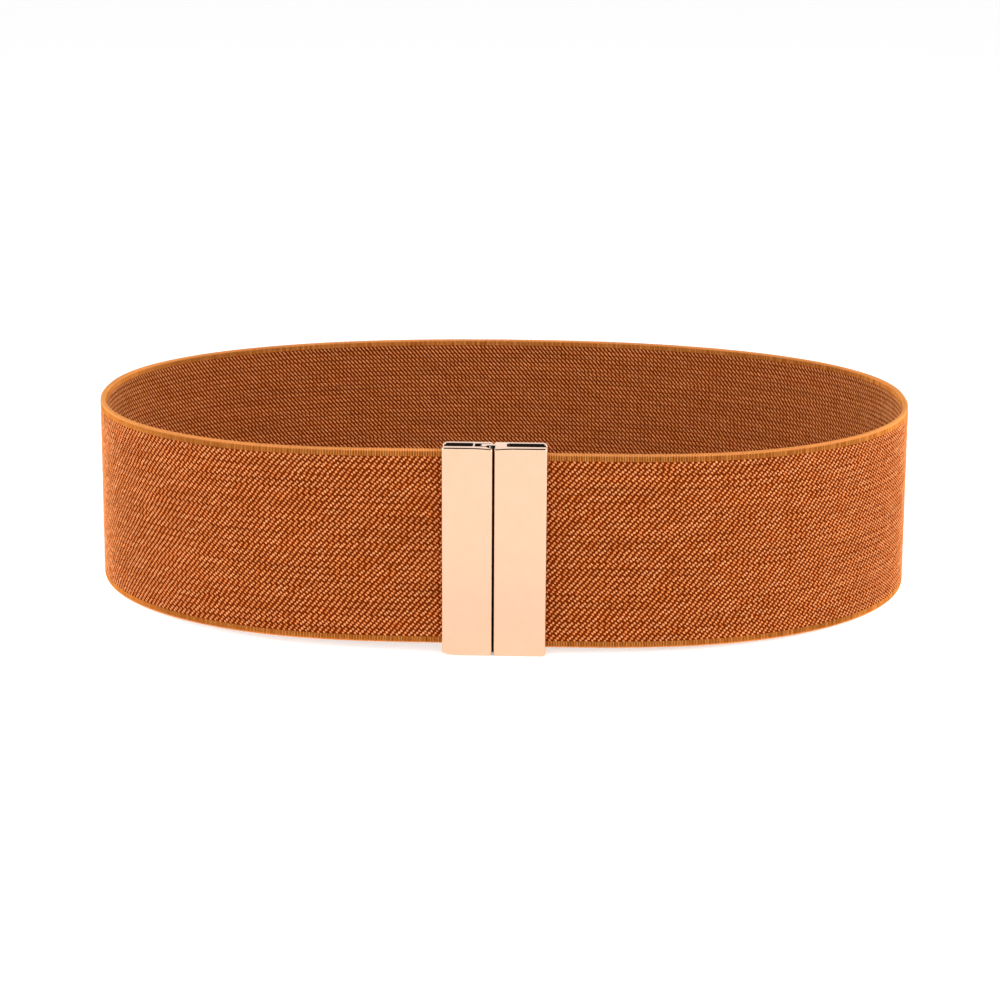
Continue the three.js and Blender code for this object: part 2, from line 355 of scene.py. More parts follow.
@dataclass
class ClaspWalls:
    """Walls and clearances of the clasp in millimetres, and where they lie across the belt and in depth."""

    gap: float = 0.7  # between the two halves
    plate: float = 3.0
    pocket_depth: float = 5.2
    back_wall: float = 2.2
    curl: float = 0.9  # the back wall's outer end, turned forward beside the band
    slot: float = 3.2  # opening between the plate and the curl, through which the band enters
    web: float = 1.0  # wall between the left half's pocket and its channel
    left_pocket: float = 10.5
    right_pocket: float = 14.2
    block: float = 4.7  # solid block beside the gap that carries the hook
    hook_head: float = 2.5
    hook_neck: float = 2.7
    hook_slope: float = 0.7  # the head's slanted shoulder, across
    slide_fit: float = 0.2  # behind the neck and in front of the head, so that the hook slides
    channel_spare: float = 1.5  # room beside the hook's head
    channel_wall: float = 2.8  # wall behind the channel
    lip: float = 0.9  # along the left plate's edge, in front of the neck
    lip_clearance: float = 0.4
    hook_room: float = 1.0  # between the lip and the hook's head, where they are hooked loosely
    undercut: float = 1.4  # depth of the recess beside the lip
    hem_clearance: float = 1.0  # between a folded end and its pocket's two side walls
    set_back: float = 3.8  # from the plates' face to the band's outer face
    straight_beside: float = 3.0  # the band runs on straight this far outside the clasp

    def __post_init__(self) -> None:
        """Works out where the walls lie."""
        self.depth = self.plate + self.pocket_depth + self.back_wall
        self.left_edge, self.right_edge = -self.gap / 2, self.gap / 2
        self.lip_inner = self.left_edge - self.lip
        self.head_inner = self.lip_inner - self.hook_room - self.hook_slope
        self.hook_tip = self.head_inner - self.hook_head
        self.channel_start = self.hook_tip - self.channel_spare
        self.left_inner = self.channel_start - self.web
        self.left_side = self.left_inner - self.left_pocket - self.curl
        self.right_inner = self.right_edge + self.block
        self.right_side = self.right_inner + self.right_pocket + self.curl
        self.channel_back = self.depth - self.channel_wall
        self.neck_back = self.channel_back - self.slide_fit
        self.neck_front = self.neck_back - self.hook_neck
        self.straight_half = max(-self.left_side, self.right_side) + self.straight_beside


@dataclass
class BeltLine:
    """The band's line seen from above, in millimetres: the middle of its wall, from fold to fold."""

    half_width: float = 170.5
    back_depth: float = 121.0
    front_depth: float = 123.5
    back_roundness: float = 2.19
    front_roundness: float = 2.2
    width: float = 75.0
    thick: float = 2.0
    spread: float = 0.9  # the clasp holds the band this much wider than its run
    lift_left: float = 2.75  # the clasp carries the band's lower edge this high, on its left
    lift_right: float = 1.6
    rise: float = 1.0  # further rise of the lower edge close to the clasp
    rise_reach: float = 60.0  # along the band, over which the rise and the spread die out
    lean: float = 1.1  # the loop's lower edge lies this much further out than its upper one
    step: float = 1.0
    fine_steps: int = 6000
    walls: ClaspWalls = field(default_factory=ClaspWalls)

    def __post_init__(self) -> None:
        """Works out the folded ends, the plates' face and how far the footprint is moved to its middle."""
        walls = self.walls
        self.straight_half = walls.straight_half
        self.left_tip = walls.left_inner - walls.hem_clearance
        self.right_tip = walls.right_inner + walls.hem_clearance
        self.left_fold = walls.left_pocket - 2 * walls.hem_clearance
        self.right_fold = walls.right_pocket - 2 * walls.hem_clearance
        face = -self.front_depth - walls.set_back - self.thick / 2
        self.footprint_shift = -(face + self.back_depth + (self.thick + self.lean) / 2) / 2
        self.clasp_face = face + self.footprint_shift

    def plan_point(self, share: float) -> tuple[float, float]:
        """Gives one point of the free run.

        Args:
            share: 0 at the left of the clasp, 1 at its right.

        Returns:
            X and Y in millimetres, before the footprint is centred.
        """
        turn = math.pi * (1.5 - 2 * share)
        across, deep = abs(math.cos(turn)), abs(math.sin(turn))
        side = -1 if share < 0.5 else 1
        if 0.25 < share < 0.75:
            power = 2 / self.back_roundness
            return side * self.half_width * across ** power, self.back_depth * deep ** power
        power = 2 / self.front_roundness
        curved = self.half_width - self.straight_half
        return side * (self.straight_half + curved * across ** power), -self.front_depth * deep ** power

    def course(self) -> list[tuple[float, float]]:
        """Walks the whole line in equal steps, from the left fold's tip to the right one's."""
        walk = [(self.left_tip, -self.front_depth)]
        walk += [self.plan_point(i / self.fine_steps) for i in range(self.fine_steps + 1)]
        walk.append((self.right_tip, -self.front_depth))
        lengths = [0.0]
        for (ax, ay), (bx, by) in zip(walk, walk[1:]):
            lengths.append(lengths[-1] + math.hypot(bx - ax, by - ay))
        count = round(lengths[-1] / self.step)
        course, k = [], 0
        for i in range(count + 1):
            goal = lengths[-1] * i / count
            while k < len(walk) - 2 and lengths[k + 1] < goal:
                k += 1
            part = (goal - lengths[k]) / max(lengths[k + 1] - lengths[k], 1e-9)
            course.append((walk[k][0] + part * (walk[k + 1][0] - walk[k][0]),
                           walk[k][1] + part * (walk[k + 1][1] - walk[k][1])))
        return course

    def length(self) -> float:
        """Gives the line's whole length in millimetres."""
        course = self.course()
        return sum(math.dist(a, b) for a, b in zip(course, course[1:]))

    def rise_and_lean(self, x: float, y: float) -> tuple[float, float, float]:
        """Gives the lower edge, the upper edge and the wall's lean at a point of the line, in millimetres."""
        share = (self.back_depth - y) / (self.back_depth + self.front_depth)
        away = max(abs(x) - self.straight_half, 0) / self.rise_reach
        near = 0.0 if y > 0 else math.exp(-away * away)
        lower = (self.lift_left if x < 0 else self.lift_right) * share + self.rise * near
        return lower, lower + self.width + self.spread * near, self.lean * (1 - near)

    def rail(self) -> bpy.types.Object:
        """Draws the line as a chain of edges that carries the edges' heights and the lean."""
        course = self.course()
        mesh = bpy.data.meshes.new("belt_line")
        points = [Vector((x, y + self.footprint_shift, 0)) * MM for x, y in course]
        mesh.from_pydata(points, [(i, i + 1) for i in range(len(points) - 1)], [])
        rise = mesh.attributes.new("rise", "FLOAT_VECTOR", "POINT")
        rise.data.foreach_set("vector", [v * MM for x, y in course for v in self.rise_and_lean(x, y)])
        rail = bpy.data.objects.new("belt_line", mesh)
        bpy.context.scene.collection.objects.link(rail)
        return rail


# Band


class Face(Enum):
    """The band's two faces: the sign is the way that each looks from the middle of the wall."""

    OUTER = 1
    INNER = -1


@dataclass(frozen=True)
class RibWeave:
    """Sizes of the floats that make one face's diagonal rib, in millimetres."""

    face: Face
    column_pitch: float = 2.35
    rows: int = 27
    stroke: float = 3.5  # one float, from tip to tip
    grain_width: float = 1.62
    grain_depth: float = 0.47
    centre: float = 0.56  # from the middle of the wall
    crown_share: float = 0.62  # width of a grain's crown against its foot
    pinch: float = 0.32  # how much of a grain is left at the neck between two grains
    grains: int = 3
    rings: int = 6
    tilt: float = -42.0  # degrees from upright, in cloth coordinates
    turn_jitter: float = 7.0
    size_jitter: float = 0.12
    wander: float = 0.55
    seed: int = 7


@dataclass
class WovenBand:
    """The woven elastic strip with its two folded ends, with its sizes in millimetres."""

    line: BeltLine = field(default_factory=BeltLine)
    selvedge: float = 2.4
    ground_half: float = 0.6
    core_half: float = 0.66
    fold_radius: float = 1.0
    station_step: float = 2.5
    thread_pitch: float = 0.62  # the real threads lie 0.35 mm apart, too fine to show
    thread_radius: float = 0.3
    thread_half: float = 0.77
    thread_jitter: float = 0.05  # share of the pitch by which a thread lies off its place
    hoop_stations: int = 7
    hoop_square: float = 0.3  # exponents that square a thread's hoop off, across the wall
    hoop_sink: float = 0.22  # and round the edge
    lower_stand: float = 0.3  # the wound threads stand this far proud of the ground's edge
    upper_stand: float = 0.5
    edge_taper: float = 0.6  # thickness of the ground's very edge, as a share of the core's
    edge_slope: float = 0.35  # the taper ends this far in
    core_step: float = 0.3  # width over which the core thins to the ground
    ground_rows: int = 6
    fold_step: int = 20  # degrees
    drift_waves: tuple[float, float, float] = (28.0, 0.0, 150.0)  # of the rows, for each metre of cloth
    drift_reach: tuple[float, float, float] = (4.0, 0.0, 1.0)  # they drift further along than across
    outer: RibWeave = RibWeave(Face.OUTER)
    inner: RibWeave = RibWeave(Face.INNER, column_pitch=1.87, rows=34, stroke=3.95, grain_width=0.8,
                               grain_depth=0.42, centre=0.58, pinch=0.8, grains=1, rings=3, tilt=-42.0,
                               turn_jitter=4.0, wander=0.5, seed=11)

    def bend(self, tree: bpy.types.NodeTree, ends: bpy.types.Node,
             flat: bpy.types.Node) -> bpy.types.Node:
        """Adds the nodes that lay flat cloth round the belt's line.

        Cloth coordinates are X along the band, Y outwards from the middle of its wall and Z up its width.

        Args:
            tree: The geometry tree.
            ends: The tree's input node, which has the line and the width.
            flat: The node that gives the flat cloth.

        Returns:
            The node that gives the bent cloth.
        """
        node = partial(add_node, tree)
        where = node("GeometryNodeInputPosition")
        marked = node("GeometryNodeStoreNamedAttribute", {"data_type": "FLOAT_VECTOR"},
                      {"Geometry": flat, "Name": "cloth", "Value": where})
        source = node("GeometryNodeObjectInfo", {}, {"Object": ends.outputs["Line"]})
        curve = node("GeometryNodeMeshToCurve", {}, {"Mesh": source.outputs["Geometry"]})
        rise = node("GeometryNodeInputNamedAttribute", {"data_type": "FLOAT_VECTOR"}, {"Name": "rise"})
        parts = node("ShaderNodeSeparateXYZ", {}, {0: where})
        here = node("GeometryNodeSampleCurve",
                    {"mode": "LENGTH", "use_all_curves": True, "data_type": "FLOAT_VECTOR"},
                    {"Curves": curve, "Value": rise, "Length": parts.outputs["X"]})
        edges = node("ShaderNodeSeparateXYZ", {}, {0: here.outputs["Value"]})
        share = node(MATH, {"operation": "DIVIDE"}, {0: parts.outputs["Z"], 1: ends.outputs["Width"]})
        tall = node(MATH, {"operation": "SUBTRACT"}, {0: edges.outputs["Y"], 1: edges.outputs["X"]})
        height = node(MATH, {"operation": "MULTIPLY_ADD"}, {0: share, 1: tall, 2: edges.outputs["X"]})
        below = node(MATH, {"operation": "SUBTRACT"}, {0: 0.5, 1: share})
        shift = node(MATH, {"operation": "MULTIPLY_ADD"},
                     {0: below, 1: edges.outputs["Z"], 2: parts.outputs["Y"]})
        outward = node(VECTOR_MATH, {"operation": "CROSS_PRODUCT"},
                       {0: (0.0, 0.0, 1.0), 1: here.outputs["Tangent"]})
        aside = node(VECTOR_MATH, {"operation": "SCALE"}, {0: outward, "Scale": shift})
        up = node("ShaderNodeCombineXYZ", {}, {"Z": height})
        moved = node(VECTOR_MATH, {"operation": "ADD"}, {0: here.outputs["Position"], 1: aside})
        place = node(VECTOR_MATH, {"operation": "ADD"}, {0: moved, 1: up})
        return node("GeometryNodeSetPosition", {}, {"Geometry": marked, "Position": place})

    def close_tree(self, tree: bpy.types.NodeTree, ends: bpy.types.Node, flat: bpy.types.Node) -> None:
        """Adds the last nodes of a band tree: realise, bend, smooth and set the material."""
        node = partial(add_node, tree)
        real = node("GeometryNodeRealizeInstances", {}, {"Geometry": flat})
        bent = self.bend(tree, ends, real)
        smooth = node("GeometryNodeSetShadeSmooth", {}, {"Geometry": bent})
        finished = node("GeometryNodeSetMaterial", {},
                        {"Geometry": smooth, "Material": ends.outputs["Finish"]})
        node("NodeGroupOutput", {}, {0: finished})

    def ground_tree(self) -> bpy.types.NodeTree:
        """Makes the tree that bends the flat ground wall round the waist."""
        tree, ends = start_tree("ground_wall", {"Line": "Object", "Width": "Float", "Finish": "Material"})
        self.close_tree(tree, ends, ends)
        return tree

    def rib_tree(self) -> bpy.types.NodeTree:
        """Makes the tree that sets the floats of one face in columns and rows and bends them round."""
        tree, ends = start_tree("rib_floats", {
            "Line": "Object", "Width": "Float", "First column": "Int", "Columns": "Int", "Rows": "Int",
            "Column pitch": "Float", "Row pitch": "Float", "First row": "Float", "Centre": "Float",
            "Stroke": "Float", "Grain width": "Float", "Grain depth": "Float", "Crown share": "Float",
            "Pinch": "Float", "Grains": "Float", "Rings": "Int", "Tilt": "Float", "Turn jitter": "Float",
            "Size jitter": "Float", "Wander": "Float", "Seed": "Int", "Finish": "Material"})
        node, knob = partial(add_node, tree), ends.outputs
        total = node(MATH, {"operation": "MULTIPLY"}, {0: knob["Columns"], 1: knob["Rows"]})
        index = node("GeometryNodeInputIndex")
        ratio = node(MATH, {"operation": "DIVIDE"}, {0: index, 1: knob["Rows"]})
        column = node(MATH, {"operation": "FLOOR"}, {0: ratio})
        row = node(MATH, {"operation": "MODULO"}, {0: index, 1: knob["Rows"]})
        placed = node(MATH, {"operation": "ADD"}, {0: column, 1: knob["First column"]})
        middle = node(MATH, {"operation": "ADD"}, {0: placed, 1: 0.5})
        along = node(MATH, {"operation": "MULTIPLY"}, {0: middle, 1: knob["Column pitch"]})
        line_up = node(MATH, {"operation": "ADD"}, {0: row, 1: 0.5})
        up = node(MATH, {"operation": "MULTIPLY_ADD"},
                  {0: line_up, 1: knob["Row pitch"], 2: knob["First row"]})
        grid = node("ShaderNodeCombineXYZ", {}, {"X": along, "Y": knob["Centre"], "Z": up})
        # The rows drift along the band by slow, long waves, as rubber yarns do when the strip is stretched.
        stretch = node(VECTOR_MATH, {"operation": "MULTIPLY"}, {0: grid, 1: self.drift_waves})
        drift = node("ShaderNodeTexNoise", {}, {"Vector": stretch, "Scale": 1.0, "Detail": 2.0})
        centred = node(VECTOR_MATH, {"operation": "SUBTRACT"},
                       {0: drift.outputs["Color"], 1: (0.5, 0.5, 0.5)})
        reach = node(VECTOR_MATH, {"operation": "SCALE"}, {0: centred, "Scale": knob["Wander"]})
        plane = node(VECTOR_MATH, {"operation": "MULTIPLY"}, {0: reach, 1: self.drift_reach})
        spot = node(VECTOR_MATH, {"operation": "ADD"}, {0: grid, 1: plane})
        points = node("GeometryNodePoints", {}, {"Count": total, "Position": spot})
        shade = node("FunctionNodeRandomValue", {"data_type": "FLOAT"}, {"ID": index, "Seed": knob["Seed"]})
        shaded = node("GeometryNodeStoreNamedAttribute", {"data_type": "FLOAT"},
                      {"Geometry": points, "Name": "shade", "Value": shade.outputs[1]})
        # One float: a sphere's rings drawn out to a string of grains.
        ball = node("GeometryNodeMeshUVSphere", {}, {"Segments": 4, "Rings": knob["Rings"], "Radius": 1.0})
        there = node("GeometryNodeInputPosition")
        axes = node("ShaderNodeSeparateXYZ", {}, {0: there})
        angle = node(MATH, {"operation": "ARCCOSINE"}, {0: axes.outputs["Z"]})
        part = node(MATH, {"operation": "DIVIDE"}, {0: angle, 1: math.pi})
        girth = node(MATH, {"operation": "SINE"}, {0: angle})
        round_off = node(MATH, {"operation": "MAXIMUM"}, {0: girth, 1: 0.01})
        wave = node(MATH, {"operation": "MULTIPLY"}, {0: part, 1: knob["Grains"]})
        phase = node(MATH, {"operation": "MULTIPLY"}, {0: wave, 1: 2 * math.pi})
        swing = node(MATH, {"operation": "COSINE"}, {0: phase})
        beading = node("ShaderNodeMapRange", {},
                       {"Value": swing, "From Min": 1.0, "From Max": -1.0, "To Min": knob["Pinch"]})
        fatten = node(MATH, {"operation": "DIVIDE"}, {0: beading, 1: round_off})
        half = node(MATH, {"operation": "MULTIPLY"}, {0: knob["Grain width"], 1: 0.5})
        wide = node(MATH, {"operation": "MULTIPLY"}, {0: fatten, 1: half})
        thick = node(MATH, {"operation": "MULTIPLY"}, {0: fatten, 1: knob["Grain depth"]})
        # The four sided section lies on a flat foot, with a narrower flat crown towards its own face.
        flank = node(MATH, {"operation": "SUBTRACT"}, {0: axes.outputs["X"], 1: axes.outputs["Y"]})
        tall = node(MATH, {"operation": "ADD"}, {0: axes.outputs["X"], 1: axes.outputs["Y"]})
        facing = node(MATH, {"operation": "SIGN"}, {0: knob["Centre"]})
        crowned = node(MATH, {"operation": "MULTIPLY"}, {0: tall, 1: facing})
        narrow = node("ShaderNodeMapRange", {},
                      {"Value": crowned, "From Min": -0.1, "From Max": 0.1, "To Min": 1.0,
                       "To Max": knob["Crown share"]})
        footed = node(MATH, {"operation": "MULTIPLY"}, {0: flank, 1: narrow})
        x = node(MATH, {"operation": "MULTIPLY"}, {0: footed, 1: wide})
        y = node(MATH, {"operation": "MULTIPLY"}, {0: tall, 1: thick})
        from_middle = node(MATH, {"operation": "SUBTRACT"}, {0: 0.5, 1: part})
        z = node(MATH, {"operation": "MULTIPLY"}, {0: from_middle, 1: knob["Stroke"]})
        shape = node("ShaderNodeCombineXYZ", {}, {"X": x, "Y": y, "Z": z})
        strand = node("GeometryNodeSetPosition", {}, {"Geometry": ball, "Position": shape})
        low_turn = node(MATH, {"operation": "SUBTRACT"}, {0: knob["Tilt"], 1: knob["Turn jitter"]})
        high_turn = node(MATH, {"operation": "ADD"}, {0: knob["Tilt"], 1: knob["Turn jitter"]})
        turn = node("FunctionNodeRandomValue", {"data_type": "FLOAT"},
                    {2: low_turn, 3: high_turn, "ID": index, "Seed": knob["Seed"]})
        turned = node("ShaderNodeCombineXYZ", {}, {"Y": turn.outputs[1]})
        small = node(MATH, {"operation": "SUBTRACT"}, {0: 1.0, 1: knob["Size jitter"]})
        large = node(MATH, {"operation": "ADD"}, {0: 1.0, 1: knob["Size jitter"]})
        size = node("FunctionNodeRandomValue", {"data_type": "FLOAT_VECTOR"},
                    {0: small, 1: large, "ID": index, "Seed": knob["Seed"]})
        floats = node("GeometryNodeInstanceOnPoints", {},
                      {"Points": shaded, "Instance": strand, "Rotation": turned, "Scale": size})
        self.close_tree(tree, ends, floats)
        return tree

    def selvedge_tree(self) -> bpy.types.NodeTree:
        """Makes the tree that winds threads round one edge of the band."""
        tree, ends = start_tree("selvedge_threads", {
            "Line": "Object", "Width": "Float", "Threads": "Int", "Thread pitch": "Float",
            "Start": "Float", "Radius": "Float", "Half": "Float", "Tall": "Float",
            "Edge": "Float", "Way": "Float", "Seed": "Int", "Finish": "Material"})
        node, knob = partial(add_node, tree), ends.outputs
        index = node("GeometryNodeInputIndex")
        jitter = node("FunctionNodeRandomValue", {"data_type": "FLOAT"},
                      {2: 0.5 - self.thread_jitter, 3: 0.5 + self.thread_jitter, "ID": index,
                       "Seed": knob["Seed"]})
        nth = node(MATH, {"operation": "ADD"}, {0: index, 1: jitter.outputs[1]})
        along = node(MATH, {"operation": "MULTIPLY_ADD"}, {0: nth, 1: knob["Thread pitch"], 2: knob["Start"]})
        spot = node("ShaderNodeCombineXYZ", {}, {"X": along, "Z": knob["Edge"]})
        points = node("GeometryNodePoints", {}, {"Count": knob["Threads"], "Position": spot})
        shade = node("FunctionNodeRandomValue", {"data_type": "FLOAT"}, {"ID": index, "Seed": knob["Seed"]})
        shaded = node("GeometryNodeStoreNamedAttribute", {"data_type": "FLOAT"},
                      {"Geometry": points, "Name": "shade", "Value": shade.outputs[1]})
        # One thread: a squarish hoop from one face round the edge to the other.
        straight = node("GeometryNodeCurvePrimitiveLine")
        stations = node("GeometryNodeResampleCurve", {}, {"Curve": straight, "Count": self.hoop_stations})
        bead = node(MATH, {"operation": "MULTIPLY"}, {0: index, 1: math.pi / (self.hoop_stations - 1)})
        cosine = node(MATH, {"operation": "COSINE"}, {0: bead})
        sine = node(MATH, {"operation": "SINE"}, {0: bead})
        sign = node(MATH, {"operation": "SIGN"}, {0: cosine})
        flat_side = node(MATH, {"operation": "ABSOLUTE"}, {0: cosine})
        clean = node(MATH, {"operation": "MAXIMUM"}, {0: sine, 1: 0.0})
        squared = node(MATH, {"operation": "POWER"}, {0: flat_side, 1: self.hoop_square})
        sunk = node(MATH, {"operation": "POWER"}, {0: clean, 1: self.hoop_sink})
        sided = node(MATH, {"operation": "MULTIPLY"}, {0: squared, 1: sign})
        y = node(MATH, {"operation": "MULTIPLY"}, {0: sided, 1: knob["Half"]})
        left_over = node(MATH, {"operation": "SUBTRACT"}, {0: 1.0, 1: sunk})
        reach = node(MATH, {"operation": "SUBTRACT"}, {0: knob["Tall"], 1: knob["Radius"]})
        rise = node(MATH, {"operation": "MULTIPLY_ADD"}, {0: left_over, 1: reach, 2: knob["Radius"]})
        z = node(MATH, {"operation": "MULTIPLY"}, {0: rise, 1: knob["Way"]})
        hoop = node("ShaderNodeCombineXYZ", {}, {"Y": y, "Z": z})
        wound = node("GeometryNodeSetPosition", {}, {"Geometry": stations, "Position": hoop})
        section = node("GeometryNodeCurvePrimitiveCircle", {"mode": "RADIUS"},
                       {"Resolution": 4, "Radius": knob["Radius"]})
        thread = node("GeometryNodeCurveToMesh", {},
                      {"Curve": wound, "Profile Curve": section, "Fill Caps": True})
        threads = node("GeometryNodeInstanceOnPoints", {}, {"Points": shaded, "Instance": thread})
        self.close_tree(tree, ends, threads)
        return tree

    def ground_mesh(self, length: float) -> bpy.types.Mesh:
        """Builds the flat ground wall with its ends folded back, as a closed strip in cloth coordinates.

        Args:
            length: From one fold's tip to the other, in millimetres.

        Returns:
            The closed strip.
        """
        radius, turn_at = self.fold_radius, self.fold_radius + self.ground_half
        bends = [math.radians(a) for a in range(0, 181, self.fold_step)]
        left, right = self.line.left_fold, self.line.right_fold
        path = [(left, -2 * radius, math.pi), (0.5 * (left + turn_at), -2 * radius, math.pi)]
        path += [(turn_at - radius * math.sin(a), -radius - radius * math.cos(a), math.pi - a) for a in bends]
        count = round((length - 2 * turn_at) / self.station_step)
        path += [(turn_at + (length - 2 * turn_at) * i / count, 0.0, 0.0) for i in range(1, count)]
        path += [(length - turn_at + radius * math.sin(a), -radius + radius * math.cos(a), -a) for a in bends]
        path += [(length - 0.5 * (right + turn_at), -2 * radius, -math.pi),
                 (length - right, -2 * radius, -math.pi)]
        edge, core, ground = self.thread_radius, self.core_half, self.ground_half
        rows = [(edge, core * self.edge_taper), (edge + self.edge_slope, core), (self.selvedge, core),
                (self.selvedge + self.core_step, ground)]
        rows += [(self.line.width * k / self.ground_rows, ground) for k in range(1, self.ground_rows)]
        rows += [(self.line.width - z, half) for z, half in reversed(rows[:4])]
        section = [(z, half) for z, half in rows] + [(z, -half) for z, half in reversed(rows)]
        strip = bmesh.new()
        rings = []
        for x, y, turn in path:
            side_x, side_y = -math.sin(turn), math.cos(turn)
            rings.append([strip.verts.new(Vector((x + side_x * half, y + side_y * half, z)) * MM)
                          for z, half in section])
        for ring, following in zip(rings, rings[1:]):
            for k in range(len(section)):
                n = (k + 1) % len(section)
                strip.faces.new((ring[k], ring[n], following[n], following[k]))
        for ring in (rings[0], rings[-1]):
            last = len(section) - 1
            for k in range(len(rows) - 1):
                strip.faces.new((ring[k], ring[k + 1], ring[last - k - 1], ring[last - k]))
        bmesh.ops.recalc_face_normals(strip, faces=strip.faces)
        mesh = bpy.data.meshes.new("ground_wall")
        strip.to_mesh(mesh)
        strip.free()
        return mesh

    def ribs(self, name: str, tree: bpy.types.NodeTree, rail: bpy.types.Object, weave: RibWeave,
             columns: tuple[int, int], finish: bpy.types.Material) -> bpy.types.Object:
        """Weaves the floats of one face over a run of columns.

        Args:
            name: Name of the piece.
            tree: The rib tree.
            rail: The belt's line.
            weave: Sizes of that face's floats.
            columns: First column and number of columns.
            finish: The yarn's material.

        Returns:
            The floats as one piece.
        """
        woven = self.line.width - 2 * self.selvedge
        return grow(name, tree, bpy.data.meshes.new(name),
                    {"Line": rail, "Width": self.line.width * MM, "First column": columns[0],
                     "Columns": columns[1], "Rows": weave.rows, "Column pitch": weave.column_pitch * MM,
                     "Row pitch": woven / weave.rows * MM, "First row": self.selvedge * MM,
                     "Centre": weave.centre * weave.face.value * MM, "Stroke": weave.stroke * MM,
                     "Grain width": weave.grain_width * MM, "Grain depth": weave.grain_depth * MM,
                     "Crown share": weave.crown_share, "Pinch": weave.pinch, "Grains": float(weave.grains),
                     "Rings": weave.rings, "Tilt": math.radians(weave.tilt),
                     "Turn jitter": math.radians(weave.turn_jitter), "Size jitter": weave.size_jitter,
                     "Wander": weave.wander * MM, "Seed": weave.seed, "Finish": finish})

    def build(self) -> None:
        """Builds the ground wall, both faces' ribs and both selvedges, and dresses them."""
        rail = self.line.rail()
        length = self.line.length()
        # The valley colours paint shade between the ribs' grains; the selvedge's brighter valley colour
        # paints a highlight along its rolled edges, and its groove colour paints shade between threads.
        rubber = SpunYarn("covered_rubber", "#803000", "#742a00", "#662200", 0.3 * MM, 1.0 * MM, 0.0).build()
        front_yarn = SpunYarn("rib_yarn", "#f2a168", "#e6884c", "#8a3600", 0.65 * MM, 0.98 * MM).build()
        back_yarn = SpunYarn("lining_yarn", "#d48c58", "#c67e46", "#7c3200", 0.62 * MM, 0.94 * MM).build()
        edge_yarn = SpunYarn("selvedge_yarn", "#df8f46", "#bc6a26", "#e89a56", 0.5 * MM, 0.8 * MM,
                             groove_shade="#5c2000", groove_within=37.4 * MM, groove_pitch=self.thread_pitch * MM,
                             groove_start=(self.fold_radius + self.ground_half) * MM).build()
        ground = grow("band_ground", self.ground_tree(), self.ground_mesh(length),
                      {"Line": rail, "Width": self.line.width * MM, "Finish": rubber})
        tree = self.rib_tree()
        first = 1
        columns = math.floor(length / self.outer.column_pitch) - 2 * first
        third = math.ceil(columns / 3)
        runs = {"ribs_outer_left": (first, third), "ribs_outer_back": (first + third, third),
                "ribs_outer_right": (first + 2 * third, columns - 2 * third)}
        floats = [self.ribs(name, tree, rail, self.outer, run, front_yarn) for name, run in runs.items()]
        skip = math.ceil(self.line.left_fold / self.inner.column_pitch)
        inside = math.floor((length - self.line.right_fold) / self.inner.column_pitch) - skip
        half = inside // 2
        floats.append(self.ribs("ribs_inner_left", tree, rail, self.inner, (skip, half), back_yarn))
        floats.append(self.ribs("ribs_inner_right", tree, rail, self.inner, (skip + half, inside - half),
                                back_yarn))
        threads = self.selvedge_tree()
        start = self.fold_radius + self.ground_half
        count = math.floor((length - 2 * start) / self.thread_pitch)
        for name, edge, stand, way, seed in (
                ("selvedge_lower", -self.lower_stand, self.lower_stand, 1.0, 3),
                ("selvedge_upper", self.line.width + self.upper_stand, self.upper_stand, -1.0, 4)):
            floats.append(grow(name, threads, bpy.data.meshes.new(name), {
                "Line": rail, "Width": self.line.width * MM, "Threads": count,
                "Thread pitch": self.thread_pitch * MM, "Start": start * MM,
                "Radius": self.thread_radius * MM, "Half": self.thread_half * MM,
                "Tall": (self.selvedge + stand) * MM, "Edge": edge * MM, "Way": way, "Seed": seed,
                "Finish": edge_yarn}))
        bpy.data.objects.remove(rail)
        dress(ground, "band")
        for piece in floats:
            dress(piece)


# Clasp


@dataclass(frozen=True)
class Corner:
    """A corner of a clasp profile in millimetres: across the belt, back from the plates' face, and round."""

    x: float
    depth: float
    round: float = 0.0
    recess_shade: bool = False  # the wall from here to the next corner gets the near black colour: painted shade
